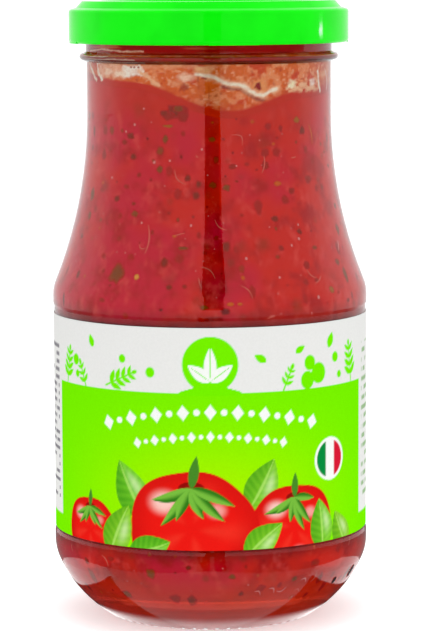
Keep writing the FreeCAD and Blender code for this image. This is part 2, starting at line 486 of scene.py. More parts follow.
def paint_film(u, v, above):
    """The thin sauce left on the glass over the contents; above is the height over the sauce."""
    orange = in_film(218, 100, 52)
    art = Print(u, v, orange)
    coarse = layered_noise(u / 3.4, v / 2.6, 21)
    middling = layered_noise(u / 1.8, v / 1.4, 23)
    fine = layered_noise(u / 0.9, v / 0.7, 22)
    drips = layered_noise(u / 1.2, v / 4.0, 24)
    for grain, low, high, strength, colour in (
        (coarse, 0.5, 0.75, 0.8, (206, 66, 26)),
        (middling, 0.48, 0.72, 0.75, (234, 144, 100)),
        (fine, 0.6, 0.8, 0.6, (240, 176, 138)),
        (fine, 0.35, 0.15, 0.6, (176, 58, 22)),
        (drips, 0.66, 0.82, 0.7 * smooth(np.abs(u + 2.0), 8, 3), (150, 44, 12)),
    ):
        art.lay(smooth(grain, low, high) * strength, in_film(*colour))
    soft_foot = 0.3 + 2.6 * smooth(u, -16, -8)
    foot = smooth(above, soft_foot, -0.3) * (0.4 + 0.6 * smooth(above, 0.6, -0.2))
    art.lay(foot, in_film(196, 56, 34))

    warp_u = (layered_noise(u / 1.1, v / 0.9, 31) - 0.5) * 1.5
    warp_v = (layered_noise(u / 1.1, v / 0.9, 32) - 0.5) * 1.1
    rough = Print(u + warp_u, v + warp_v, orange)
    slight = Print(u + warp_u * 0.25, v + warp_v * 0.3, orange)

    # Lays pale froth, and also the painted highlights between the bead and the lid
    def froth_and_glint(mask, colour, strength=1.0):
        art.lay(mask * strength * (0.7 + 0.3 * smooth(fine, 0.3, 0.6)), in_film(*colour))

    def disc(degrees, height, half_u, half_v, edge, colour, strength=1.0, kind=rough.disc):
        froth_and_glint(kind(degrees * PER_DEGREE, height, half_u, half_v, edge=edge), colour, strength)

    bar = partial(disc, kind=rough.bar)

    def line(places, half, colour, strength=1.0, ground=rough, edge=0.3, stretch=1.0):
        points = [(degrees * PER_DEGREE, height) for degrees, height in places]
        froth_and_glint(ground.path(points, half, edge, stretch), colour, strength)

    # left: streaks, a froth patch and its ragged foot
    bar(-53, 131.6, 6.0, 1.5, 0.7, (240, 178, 150), 0.9)
    line([(-79, 133), (-74, 131), (-69, 129.3)], 0.35, (246, 226, 204))
    line([(-68, 133), (-66.5, 131), (-63, 129.6)], 0.45, (248, 234, 216))
    bar(-39.5, 131.6, 3.1, 1.2, 0.35, (255, 228, 214))
    line([(-36, 131.6), (-31, 130.4), (-24.5, 128.5)], 0.55, (238, 172, 134))
    disc(-48, 131.0, 1.8, 0.8, 0.4, (250, 214, 190), 0.9)
    disc(-57, 131.2, 1.5, 0.8, 0.4, (250, 210, 184), 0.8)
    bar(-15, 132.6, 9.0, 0.5, 0.4, (238, 160, 122), 0.6)
    for degrees in (-40.5, -38.5, -36):
        art.lay(art.disc(degrees * PER_DEGREE, 132.5, 0.3, 0.22), in_film(168, 62, 12))
    # middle: pale patches over the fold
    disc(-11, 130.3, 1.9, 1.0, 0.5, (244, 188, 160))
    disc(-3, 131.9, 1.7, 0.9, 0.5, (240, 176, 124))
    disc(-16, 128.8, 1.2, 0.6, 0.4, (226, 148, 112), 0.7)
    art.lay(rough.disc(-2.3 * PER_DEGREE, 130.1, 0.5, 0.3), in_film(158, 30, 12))
    # the pale fold, with a painted shadow along its underside
    shade = [(degrees * PER_DEGREE, height - 0.95) for degrees, height in FOLD[3:9]]
    art.lay(art.path(shade, 0.35, 0.35, 1.4) * 0.8, in_film(132, 62, 66))
    disc(25, 128.1, 2.1, 1.7, 0.6, (234, 150, 96), 0.8)
    art.lay(rough.disc(24.8 * PER_DEGREE, 128.0, 0.75, 0.8, edge=0.25), in_film(142, 36, 4))
    line(FOLD[1:], 0.75, (242, 180, 140), 0.8, rough, 0.5, 1.3)
    line(FOLD, 0.36, (255, 226, 204), 1.0, slight, 0.26, 1.3)
    # right: a froth patch, its white edge and the streaks beside it
    patch = rough.bar(53 * PER_DEGREE, 127.9, 6.3, 1.3, edge=0.7)
    froth_and_glint(patch * smooth(fine, 0.25, 0.6), (240, 184, 146), 0.9)
    disc(44, 128.4, 1.1, 0.8, 0.4, (248, 226, 190))
    disc(60, 128.6, 1.3, 0.9, 0.4, (244, 214, 204))
    line([(65, 131.2), (66, 128.6), (67.5, 126.4)], 0.3, (255, 240, 226), 1.0, slight)
    line([(75, 131), (78, 128.4), (77, 126.8)], 0.25, (240, 196, 180), 0.8, slight)
    # between the bead and the lid: painted shade, darker towards the lid, with darker streaks in it
    lid_shade = smooth(v, 134.2, 135.2)
    streak = lattice_noise(u / 9.0, v / 0.55, 41) * lid_shade
    art.lay(smooth(v, 133.2, 134.2) * 0.9, in_film(178, 46, 20))
    art.lay(smooth(streak, 0.45, 0.15) * lid_shade * 0.8, in_film(140, 20, 8))
    art.lay(smooth(v, 135.4, 136.4) * 0.85, in_film(160, 20, 6))
    # painted highlights on the left: lighter streaks, and pale lines along the bead
    art.lay(smooth(streak, 0.55, 0.8) * smooth(u, 6, -10) * 0.6, in_film(226, 120, 78))
    for half, colour, places in (
        (0.14, (246, 196, 172), [(-77, 136.0), (-62, 136.5), (-46, 136.1), (-33, 136.2)]),
        (0.17, (250, 206, 184), [(-79, 134.7), (-66, 135.0), (-50, 134.6), (-38, 134.7)]),
        (0.25, (250, 232, 214), [(-72, 133.6), (-66, 133.3), (-60, 133.7), (-56, 133.4)]),
    ):
        line(places, half, colour, 0.9, slight, 0.18)
    return art.colours


def make_film():
    front = np.arange(-FRONT_DEGREES, FRONT_DEGREES, 0.5)
    back = np.arange(FRONT_DEGREES, 360 - FRONT_DEGREES, 2.5)
    degrees = np.concatenate([front, back])
    angles = np.radians(degrees)
    seen = np.where(degrees > 180, degrees - 360, degrees)
    edge = np.interp(np.mod(angles, 2 * math.pi), rim_angles, rim_height, period=2 * math.pi) / MM
    foot = edge - 2.2
    rows, inner_rows, count = 112, 18, len(degrees)

    def heights(steps):
        return (foot + (FILM_TOP - foot) * np.linspace(0, 1, steps)[:, None]).ravel()

    height = heights(rows)
    above = height - np.tile(edge, rows)
    colours = paint_film(np.tile(np.radians(seen) * neck_cavity_r / MM, rows), height, above)
    radius = FILM_R - 0.08 * MM * smooth(above, -1.4, -2.1)
    outside = on_cylinder(radius, np.tile(angles, rows), height * MM)
    inner_radius = np.full(inner_rows * count, FILM_INSIDE_R)
    inside = on_cylinder(inner_radius, np.tile(angles, inner_rows), heights(inner_rows) * MM)
    start = rows * count
    faces = grid_faces(rows, count, wrap=True)
    faces += [face[::-1] for face in grid_faces(inner_rows, count, wrap=True, start=start)]
    top, inner_top = start - count, start + (inner_rows - 1) * count
    for column in range(count):
        right = (column + 1) % count
        faces.append((start + column, start + right, right, column))
        faces.append((top + column, top + right, inner_top + right, inner_top + column))
    paint = np.concatenate([colours, np.tile(in_film(198, 74, 40), (inner_rows * count, 1))])
    material = painted_material("thin_sauce", 0.3, 3000.0, 0.12, 0.02 * MM, FILM_WET)
    piece = new_object("sauce_residue", [*outside, *inside], faces, material, paint, 2 * count)
    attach(piece, ROOT)


make_film()


# ---- herbs, seeds, shreds and bubbles

SAUCE_TONE = behind_glass(180, 47, 46)
TONES = {
    "brown": (126, 54, 40), "olive": (124, 72, 40), "yellow": (158, 94, 26), "faint": (150, 52, 46),
    "dark": (108, 32, 26), "orange": (206, 92, 44), "seed": (232, 142, 66), "skin": (214, 96, 84),
    "bubble": (236, 128, 124),
}
TONES = {name: behind_glass(*shade) for name, shade in TONES.items()}

# Degrees round from the front, height of the middle, width, length upwards and tone
HERBS = (
    (-16, 122.3, 5, 3.4, "brown"), (-15, 123, 2.6, 1.6, "olive"), (-20, 121.4, 3.2, 2.2, "faint"),
    (-12.5, 121.2, 2.4, 2.8, "faint"), (-22, 121.9, 2.2, 1.5, "brown"), (-20, 119, 2.4, 0.7, "yellow"),
    (-21.5, 116, 1.3, 2.2, "olive"), (-41, 116.5, 2.1, 1.5, "brown"), (-45, 115, 1.7, 1.2, "faint"),
    (-31, 116, 0.7, 0.7, "dark"), (-39, 111.7, 1.7, 1.5, "brown"), (-24, 109, 1.4, 2, "olive"),
    (-35, 107.5, 1.1, 1.2, "faint"), (-47, 101.7, 1.7, 1.7, "brown"), (-72, 117, 1.4, 2.4, "brown"),
    (-67, 102, 2, 3.2, "olive"), (-10, 107, 1.4, 1.6, "brown"), (-5, 105.6, 1.3, 1.8, "brown"),
    (-6, 103, 1.8, 2.2, "brown"), (47, 120, 1.8, 1.6, "yellow"), (51, 117.5, 1.8, 2.2, "brown"),
    (11, 109.6, 1.8, 1.2, "faint"), (8, 104.8, 1.7, 1.6, "olive"), (41, 103.5, 1.7, 1.6, "faint"),
    (53, 106, 2.5, 2, "faint"), (1.5, 116, 1.7, 1.4, "olive"), (-39, 84.7, 4.2, 4.2, "olive"),
    (-18.5, 87.8, 1.7, 2.3, "brown"), (-15.5, 82.2, 1.4, 1.4, "brown"), (-9.5, 82.4, 1.1, 0.9, "faint"),
    (-11, 91, 2.5, 0.9, "olive"), (-69, 92, 1.3, 1.5, "brown"), (-62, 83.3, 1.4, 2, "brown"),
    (-66, 97, 1.5, 2, "olive"), (-69, 77.5, 1.1, 3.4, "dark"), (30, 97.3, 2, 1.4, "brown"),
    (71, 93.3, 1.8, 2.8, "olive"), (65, 82.8, 1.8, 3.8, "olive"), (7, 91.4, 1.7, 2.6, "brown"),
    (8.5, 87.7, 2.2, 2.3, "faint"), (31, 90.6, 1.4, 1.4, "faint"), (42, 94, 1.4, 1.3, "brown"),
    (5.5, 77, 2.2, 1.5, "dark"), (-2, 78, 2, 1.2, "olive"), (-18, 77.3, 1, 0.7, "dark"),
    (-54.5, 16.4, 1.4, 1.3, "brown"), (-23.5, 15.6, 2.2, 2.2, "olive"), (-38.5, 10.4, 2.6, 1.6, "olive"),
    (-15.5, 10.1, 2.4, 2, "faint"), (-8.5, 9.9, 2.2, 2.2, "brown"), (-8.5, 17.3, 1.2, 1, "brown"),
    (8, 15.3, 1.6, 1.2, "olive"), (12.5, 11.3, 1.2, 1.2, "brown"), (34.5, 13.8, 1.6, 1.2, "olive"),
    (43, 16.7, 3, 1.6, "faint"),
)
SEEDS = (
    (-29.5, 84.2, 1.4, 1.4, "seed"), (52, 80.2, 1.7, 1.6, "yellow"), (33.5, 105.4, 2.1, 1.3, "orange"),
    (7.5, 78.6, 1.7, 0.9, "orange"), (11, 78.6, 1.3, 0.7, "orange"), (-15, 93.7, 1.1, 0.7, "orange"),
)
BUBBLES = (
    (-38.5, 119.2, 0.81), (42, 95.6, 0.68), (41, 92.4, 0.88), (36.5, 91, 0.74), (-33, 123, 0.61),
    (-44, 117.5, 0.68), (-3.5, 113.7, 0.68), (-19, 111, 0.68), (-27, 110.6, 0.94), (-52, 106.5, 0.68),
    (13, 109.8, 0.54), (15, 88.6, 0.81), (28, 84, 0.74), (44, 79, 0.94), (-31, 96.5, 0.68),
    (-8, 96.2, 0.74),
)
# Degrees and height at both ends, width and sideways bow, and tone
SHREDS = (
    (56, 118.8, 59, 114, 0.5, 0.5, "orange"), (68, 90.8, 66, 88.4, 0.55, 0.1, "bubble"),
    (-27.5, 96, -27.5, 89.5, 0.45, 0.6, "skin"), (-16.5, 109, -11, 105.6, 0.35, -0.8, "skin"),
    (-16, 93.4, -10.5, 94.4, 0.3, 0.2, "skin"), (27, 112, 25.5, 108, 0.4, 0.4, "skin"),
    (11, 117, 16, 114.5, 0.35, 1.3, "skin"), (18, 11.6, 21, 10.8, 0.4, 0.5, "bubble"),
    (24, 12.1, 27, 11, 0.45, 0.6, "bubble"), (28, 11.4, 32, 12.2, 0.4, -0.6, "bubble"),
    (38, 13.4, 41, 12.8, 0.45, 0.6, "bubble"), (37, 11.2, 40, 10.6, 0.35, 0.4, "skin"),
)


class Specks:
    """Many small flat pieces lying against the glass, gathered into one mesh."""

    def __init__(self, name):
        self.name = name
        self.points, self.faces, self.colours = [], [], []

    def point(self, angle, height, tone, fade):
        """Adds a point at a height in millimetres, its tone fading into the sauce."""
        self.points.append(against_glass(angle, height * MM))
        self.colours.append(TONES[tone] + (SAUCE_TONE - TONES[tone]) * fade)

    def add(self, angle, height, width, tall, tone, blend=0.85, ragged=0.22, segments=14):
        """A ragged round flake whose rim fades into the sauce."""
        radius = wall_radius(height * MM) / MM
        start = len(self.points)
        wobble = 1 + ragged * (rng.random(segments) - 0.5) * 2
        self.point(angle, height, tone, 1 - blend)
        for reach, share in ((0.45, 1.0), (0.74, 0.75), (1.08, 0.0)):
            for index in range(segments):
                turn = 2 * math.pi * index / segments
                du = width / 2 * reach * wobble[index] * math.cos(turn)
                dv = tall / 2 * reach * wobble[index] * math.sin(turn)
                self.point(angle + du / radius, height + dv, tone, 1 - blend * share)
        for index in range(segments):
            right = (index + 1) % segments
            self.faces.append((start, start + 1 + right, start + 1 + index))
            for low in (start + 1, start + 1 + segments):
                high = low + segments
                self.faces.append((low + index, low + right, high + right, high + index))

    def shred(self, angle, height, end_angle, end_height, width, bow, tone):
        """A thin curved strip between two places on the glass."""
        steps = 12
        start = len(self.points)
        radius = wall_radius(height * MM) / MM
        du, dv = (end_angle - angle) * radius, end_height - height
        length = math.hypot(du, dv)
        for step in range(steps + 1):
            share = step / steps
            sway = bow * math.sin(math.pi * share)
            half = width / 2 * math.sin(math.pi * min(max(share, 0.06), 0.94)) ** 0.5
            for side, fade in ((-1, 0.75), (-0.4, 0.12), (0.4, 0.12), (1, 0.75)):
                aside = (sway + half * side) / length
                u, v = du * share - aside * dv, dv * share + aside * du
                self.point(angle + u / radius, height + v, tone, fade)
        for step in range(steps):
            for a in range(start + step * 4, start + step * 4 + 3):
                self.faces.append((a, a + 4, a + 5, a + 1))

    def finish(self):
        material = painted_material(self.name + "_look", 0.06, 4000.0, 0.2, wet=WET)
        piece = new_object(self.name, self.points, self.faces, material, self.colours)
        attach(piece, ROOT)


def free_places(count, least_gap):
    """Seeded places on the glass over and under the label, clear of those in the tables."""
    taken = [(math.radians(entry[0]), entry[1]) for entry in HERBS + SEEDS]
    placed = len(taken)
    while len(taken) < placed + count:
        angle = rng.uniform(-math.pi, math.pi)
        height = rng.uniform(75.5, 121) if rng.random() < 0.86 else rng.uniform(9.5, 20.5)
        reach = wall_radius(height * MM) / MM
        if min(math.hypot((angle - a) * reach, height - h) for a, h in taken) > least_gap:
            taken.append((angle, height))
    return taken[placed:]


def make_specks():
    herbs = Specks("herb_flakes")
    for degrees, *rest in HERBS:
        herbs.add(math.radians(degrees), *rest, 0.95)
    for angle, height in free_places(330, 2.2):
        tone = ("faint", "faint", "brown", "olive", "dark")[int(rng.integers(5))]
        size = rng.uniform(0.6, 2.1) if tone != "dark" else rng.uniform(0.35, 0.7)
        herbs.add(angle, height, size, size * rng.uniform(0.6, 1.6), tone, rng.uniform(0.35, 0.85))
    herbs.finish()
    seeds = Specks("tomato_seeds")
    for degrees, *rest in SEEDS:
        seeds.add(math.radians(degrees), *rest, 0.95, 0.1)
    for angle, height in free_places(46, 3.0):
        size = rng.uniform(0.6, 1.1)
        seeds.add(angle, height, size, size * rng.uniform(0.8, 1.3), "orange", rng.uniform(0.3, 0.8), 0.1)
    seeds.finish()
    bubbles = Specks("air_bubbles")
    for degrees, height, size in BUBBLES:
        bubbles.add(math.radians(degrees), height, size * 0.9, size, "bubble", 0.85, 0.06, 10)
    for angle, height in free_places(170, 2.0):
        size = rng.uniform(0.25, 0.5)
        bubbles.add(angle, height, size, size, "bubble", rng.uniform(0.35, 0.75), 0.06, 10)
    bubbles.finish()
    shreds = Specks("skin_shreds")
    for start, low, end, high, width, bow, tone in SHREDS:
        shreds.shred(math.radians(start), low, math.radians(end), high, width, bow, tone)
    for angle, height in free_places(34, 3.5):
        turn, climb, bow = rng.uniform(-0.1, 0.1), rng.uniform(-3, 3), rng.uniform(-0.8, 0.8)
        shreds.shred(angle, height, angle + turn, height + climb, 0.35, bow, "skin")
    shreds.finish()


make_specks()


# ---- dark dabs on the glass

# Degrees round and height of the middle, length, thickness and tilt
DABS = ((55.1, 11.0, 1.9, 1.7, 62), (68.5, 11.8, 3.3, 2.7, 71))
DAB_STEPS = 20


def make_dabs():
    """Two dark dabs of ink on the outside of the heel."""
    glass_tree = node_tree("glass_jar")
    points, faces = [], []
    for degrees, height, length, thickness, tilt in DABS:
        start, lean = len(points), math.radians(tilt)
        for index in range(DAB_STEPS + 1):
            along = length * (index / DAB_STEPS - 0.5)
            taper = 1 - abs(2 * index / DAB_STEPS - 1) ** 3
            half = thickness / 2 * taper * (0.8 + 0.3 * math.sin(index * 1.9)) + 0.02
            for aside in (-half, 0, half):
                u = along * math.cos(lean) - aside * math.sin(lean)
                z = (height + along * math.sin(lean) + aside * math.cos(lean)) * MM
                away = Vector(on_cylinder(1.0, math.radians(degrees) + u * MM / cavity_r, 0.0))
                hit = glass_tree.ray_cast(away * jar_height + Vector((0, 0, z)), -away)[0]
                points.append(hit + away * 0.08 * MM)
        for row in range(DAB_STEPS):
            for a in (start + row * 3, start + row * 3 + 1):
                faces.append((a, a + 3, a + 4, a + 1))
    ink = Surface("ink", srgb(34, 16, 18), Roughness=0.6, Specular_IOR_Level=0.1)
    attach(new_object("ink_dabs", points, faces, ink.material), ROOT)


make_dabs()


# ---- label

LABEL_HEIGHT = (label_high.z - label_low.z) / MM
PAPER = 0.12 * MM
FRONT_HALF = 48.0
FRONT_STEP = 0.25
BACK_STEP = 1.2
HEIGHT_STEP = 0.27

PAPER_GREY = srgb(233, 233, 231)
PRINT_GREEN = srgb(116, 240, 0)
GLOW_GREEN = srgb(166, 240, 0)
PRINT_WHITE = srgb(246, 248, 244)


def basil_leaf(art, u, v, length, width, degrees, bend=0.0, tone=0.0):
    mask, share, across = art.leaf_shape(u, v, length, width, degrees, bend)
    dark = srgb(38 + 30 * tone, 138 + 20 * tone, 14)
    light = srgb(128 + 40 * tone, 214, 48)
    veins = 0.5 + 0.5 * np.cos((share * 7.5 - np.abs(across) * 1.1) * 2 * math.pi)
    body = 0.25 + 0.45 * smooth(across, 0.9, -0.7) + 0.18 * veins
    art.lay(mask, blend(dark, light, np.clip(body, 0, 1)))
    art.lay(mask * smooth(np.abs(across), 0.13, 0.04) * 0.7, srgb(176, 228, 104))
    shine = np.exp(-(((share - 0.55) / 0.2) ** 2 + ((across + 0.45) / 0.28) ** 2))
    art.lay(mask * shine * 0.55, srgb(226, 246, 190))


def tomato(art, u, v, radius, lean=0.0, shine=1.0):
    """A round tomato seen from the side, with its calyx on top."""
    along, across = art.local(u, v)
    turn = np.arctan2(across, along)
    lobes = 1 + 0.022 * np.cos(turn * 5 + lean) + 0.015 * np.cos(turn * 3 - lean)
    reach = np.hypot(along / radius, across / (radius * 0.88)) / lobes
    mask = smooth((reach - 1) * radius, 0.15, -0.12)
    low = smooth(across, radius * 0.2, -radius * 0.9)
    shade = smooth(reach, 0.55, 1.02) * 0.8 * (0.4 + 0.6 * low)
    art.lay(mask, blend(srgb(232, 26, 20), srgb(168, 12, 14), shade))
    folds = np.abs(np.cos(turn * 2.5 + lean)) ** 6 * smooth(reach, 1.0, 0.5) * smooth(reach, 0.05, 0.3)
    art.lay(mask * folds * 0.22, srgb(250, 84, 60))
    glints = ((-0.42, 0.4, 0.26, 0.85), (0.38, 0.28, 0.17, 0.5), (0.1, -0.5, 0.2, 0.35))
    for place_u, place_v, size, strength in glints:
        off_u, off_v = along - place_u * radius, across - place_v * radius
        spot = np.exp(-(off_u ** 2 + off_v ** 2 * 1.6) / (size * radius) ** 2)
        art.lay(mask * smooth(spot, 0.2, 0.95) * strength * shine, srgb(252, 214, 204))
    top_v = v + radius * 0.62
    art.lay(art.disc(u, top_v, radius * 0.2, radius * 0.1) * 0.8, srgb(110, 10, 8))
    sepals = 6
    for index in range(sepals):
        spread = 180 + (index + 0.5) * 180 / sepals + 10 * math.sin(index * 2.3 + lean)
        length = radius * (0.62 + 0.14 * math.sin(index * 1.7 + lean))
        mask, _, side = art.leaf_shape(u, top_v, length, radius * 0.17, spread, 0.25 * math.cos(index))
        art.lay(mask, blend(srgb(48, 122, 26), srgb(118, 186, 62), smooth(side, 0.6, -0.4)))
    stalk = art.leaf_shape(u, top_v, radius * 0.5, radius * 0.16, 78 + 12 * math.sin(lean))[0]
    art.lay(stalk, srgb(70, 136, 40))


def twig(art, u, v, length, degrees, leaves, colour):
    """A thin stem with pairs of small leaves and a bud at its tip."""
    angle = math.radians(degrees)
    step_u, step_v = math.cos(angle) * length, math.sin(angle) * length
    art.lay(art.bar(u + step_u / 2, v + step_v / 2, length / 2, 0.22, degrees, round_off=0.2), colour)
    for index in range(leaves):
        share = (index + 1) / (leaves + 1)
        size = length * 0.36 * (1.15 - 0.5 * share)
        at = (u + step_u * share, v + step_v * share)
        for side in (-48, 48):
            art.lay(art.leaf_shape(*at, size, size * 0.42, degrees + side)[0], colour)
    art.lay(art.disc(u + step_u, v + step_v, 0.75, 0.5, degrees), colour)


FIELD_TOP = 36.7
FIELD_HALF = 45.7
FIELD_FOOT = 4.4


def paint_field(art):
    """The green field with its glow, and the plain medallion on its upper edge."""
    edge = 0.12
    side = smooth(np.abs(art.u), FIELD_HALF + edge, FIELD_HALF - edge)
    field = smooth(art.v, FIELD_TOP + edge, FIELD_TOP - edge) * side
    foot = smooth(art.v, FIELD_FOOT + edge, FIELD_FOOT - edge)
    glow = np.exp(-((art.u / 30) ** 2 + ((art.v - 10) / 17) ** 2))
    art.lay(np.maximum(field, foot), blend(PRINT_GREEN, GLOW_GREEN, glow))
    middle_v, radius = FIELD_TOP + 6.6, 6.5
    flare = 2.3 + 5.0 * smooth(art.v, FIELD_TOP + 2.4, FIELD_TOP) ** 1.5
    stand = smooth(np.abs(art.u) - flare, edge, -edge) * smooth(art.v, FIELD_TOP + 3, FIELD_TOP + 2.6)
    art.lay(np.maximum(stand * (art.v > FIELD_TOP - 0.5), art.disc(0, middle_v, radius)), PRINT_GREEN)
    for degrees, length in ((36, 6.4), (90, 8.0), (144, 6.4)):
        mask, _, side = art.leaf_shape(0, middle_v - 3.9, length, 3.0, degrees)
        art.lay(mask * smooth(np.abs(side), 0.03, 0.12), PRINT_WHITE)


def paint_band(art):
    """Green twigs, berries and drops on the pale band."""
    for u, v, length, degrees, leaves in (
        (-41.5, 0, 8.5, 80, 4), (-33.0, -0.5, 6.5, 112, 3), (-26.5, 0.8, 9.0, 24, 4),
        (17.5, 0, 6.0, 66, 3), (40.5, 0, 9.5, 98, 4),
    ):
        twig(art, u, FIELD_TOP + v, length, degrees, leaves, PRINT_GREEN)
    for u, v, radius in (
        (-37.2, 5.9, 1.2), (-36.6, 2.6, 0.8), (-21.5, 7.4, 0.9), (-14.2, 4.6, 1.1), (24.2, 2.0, 1.9),
        (27.6, 3.4, 2.2), (24.9, 6.0, 1.6), (33.4, 6.6, 1.1), (35.0, 2.4, 0.8),
    ):
        art.lay(art.disc(u, FIELD_TOP + v, radius, radius * 1.12), PRINT_GREEN)
    drops = ((13.2, 7.0, 3.4, 150), (20.8, 8.6, 3.0, 30), (31.0, 9.0, 3.8, 70), (-30.5, 9.4, 3.2, 110))
    for u, v, size, degrees in drops:
        art.lay(art.leaf_shape(u, FIELD_TOP + v, size, size * 0.55, degrees)[0], PRINT_GREEN)


def paint_garland(art):
    """Two arched rows of plain white lozenges and dots, where a pack has its title."""
    count = 17
    for centre_v, bow, half_span, size in ((32.3, 0.0052, 25.5, 1.8), (26.6, 0.0062, 17.5, 1.25)):
        for index in range(count):
            u = half_span * (2 * index / (count - 1) - 1)
            v = centre_v - bow * u * u
            lean = -math.degrees(math.atan(2 * bow * u))
            if index % 2:
                art.lay(art.disc(u, v, size * 0.42, edge=0.1), PRINT_WHITE)
                continue
            along, across = art.local(u, v, lean)
            reach = np.abs(along) / (size * 0.8) + np.abs(across) / size
            art.lay(smooth((reach - 1) * size * 0.6, 0.1, -0.1), PRINT_WHITE)


def paint_harvest(art):
    """Tomatoes and basil leaves along the label's foot."""
    basil_leaf(art, -15.5, 7.0, 15.0, 8.5, 118, 0.12)
    basil_leaf(art, 9.0, 9.5, 13.0, 8.0, 62, -0.1, 0.3)
    tomato(art, -32.0, 3.0, 8.6, 0.7, 0.8)
    tomato(art, 20.5, 4.4, 11.6, 2.1)
    tomato(art, -4.5, 5.0, 15.4, 0.2)
    for leaf in (
        (-25.5, -2.5, 13.5, 8.0, 66, 0.1, 0.5), (-20.0, -1.5, 11.0, 7.0, 18, -0.15),
        (8.0, -2.0, 12.0, 7.0, 40, 0.15, 0.4), (29.0, -2.0, 12.5, 7.4, 96, -0.1, 0.2),
        (38.5, -3.0, 11.0, 7.0, 118, 0.1, 0.6),
    ):
        basil_leaf(art, *leaf)


def paint_seal(art):
    """A plain round seal in three stripes."""
    u, v, radius = 31.5, 19.5, 4.4
    art.lay(art.disc(u, v, radius + 0.7), PRINT_WHITE)
    inside = art.disc(u, v, radius)
    art.lay(inside * smooth(art.u, u - 1.35, u - 1.6), srgb(8, 138, 60))
    art.lay(inside * smooth(art.u, u + 1.35, u + 1.6), srgb(214, 28, 52))


def paint_small_print(art):
    """Rows of short dashes on the pale panels, instead of small print."""
    half = math.pi * label_r / MM
    for first_u, last_u, colour, pitch in (
        (-half + 6, -FIELD_HALF - 1.6, srgb(96, 92, 104), 1.9),
        (FIELD_HALF + 1.8, half - 6, srgb(128, 176, 108), 2.3),
    ):
        row = np.floor((art.v - 7.5) / pitch)
        within = np.abs((art.v - 7.5) / pitch - row - 0.5)
        dash = lattice_noise(art.u / 1.7, row * 3.7, 11)
        panel = smooth(art.u, first_u, first_u + 0.4) * smooth(art.u, last_u, last_u - 0.4)
        rows = smooth(art.v, 7.3, 7.7) * smooth(art.v, 45.5, 45.0)
        art.lay(panel * rows * smooth(within, 0.28, 0.18) * smooth(dash, 0.3, 0.42) * 0.8, colour)


def make_label():
    # The columns are fine at the front and coarse at the back, with the lap at the end
    half = math.pi * label_r / MM
    back = np.arange(-half, -FRONT_HALF, BACK_STEP)
    front = np.arange(-FRONT_HALF, FRONT_HALF, FRONT_STEP)
    lap = half + np.array([1.0, 3.4, 3.6, 3.8])
    columns = np.concatenate([back, front, -back[::-1], lap])
    rows = np.linspace(0, LABEL_HEIGHT, int(LABEL_HEIGHT / HEIGHT_STEP))
    count, height = len(columns), len(rows)
    radius = label_r + PAPER * 0.98 * smooth(columns, half - 4.0, half - 1.0)
    # The outside's grid, and then two rows along the inside's foot and head
    radii = np.concatenate([np.tile(radius, height), np.tile(radius - PAPER, 2)])
    v = np.repeat([*rows, rows[0], rows[-1]], count)
    vertices = on_cylinder(radii, np.tile(columns * MM / label_r, height + 2), label_low.z + v * MM)
    art = Print(np.tile(columns, height + 2), v, PAPER_GREY)
    for paint in (paint_field, paint_band, paint_garland, paint_harvest, paint_seal, paint_small_print):
        paint(art)
    faces = grid_faces(height, count)
    top_row, foot, head = [(height + step) * count for step in (-1, 0, 1)]
    for column in range(count - 1):
        for low, high in ((foot, 0), (top_row, head), (head, foot)):
            faces.append((low + column, low + column + 1, high + column + 1, high + column))
    edge = [row * count for row in range(height)]
    faces.append((foot, *edge, head))
    faces.append(tuple(index + count - 1 for index in (head, *edge[::-1], foot)))
    material = painted_material("printed_paper", 0.6, 1800.0, 0.03, 0.02 * MM)
    piece = new_object("printed_label", vertices, faces, material, art.colours)
    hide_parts("label")
    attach(piece, ROOT)


make_label()


# ---- stage

CAMERA_PLACE = (0.00014, -0.6958, 0.1538)
CAMERA_PITCH = math.radians(-6.71)
CAMERA_ROLL = math.radians(-0.26)


def make_camera():
    data = bpy.data.cameras.new("camera")
    data.sensor_width = 36
    data.lens = 165.4
    data.clip_start = 0.01
    camera = link("camera", data)
    camera.location = CAMERA_PLACE
    level = Matrix.Rotation(math.radians(90) + CAMERA_PITCH, 3, "X")
    turned = Matrix.Rotation(CAMERA_ROLL, 3, level.col[2]) @ level
    camera.rotation_mode = "YXZ"
    camera.rotation_euler = turned.to_euler("YXZ")
    scene.camera = camera


def stage_plane(name, corners, material, unseen_by=()):
    """A flat piece of the stage, not seen by some kinds of ray."""
    piece = new_object(name, corners, [tuple(range(len(corners)))], material, flat_tail=1)
    for ray in unseen_by:
        setattr(piece, "visible_" + ray, False)


def bearing(look, x, y):
    """Degrees round the jar from the front, from -180 to 180, positive to the right."""
    return look.times(look.math("ARCTAN2", x, look.times(y, -1.0)), 180 / math.pi)


def surround(look, x, y):
    """What the tent shows to reflections by bearing: a little darker in front than at its sides."""
    degrees = look.math("ABSOLUTE", bearing(look, x, y))
    through = look.times(look.ray("Is Transmission Ray"), 1.1)
    return look.math("MAXIMUM", look.ramp(degrees, 84.0, 110.0, 0.68, 1.0), through)


# What reflections see of the table, in metres from the jar's axis: a bright plate that ends in a
# rounded square, and a dark patch on it under the jar
PLATE_EDGE = 0.073
PLATE_SOFT = 0.0015
UNDER_HALF = 0.038
UNDER_SOFT = 0.0005
# The bright ring in which the clear foot catches the light
FOOT_RING = (0.0235, 0.0275)


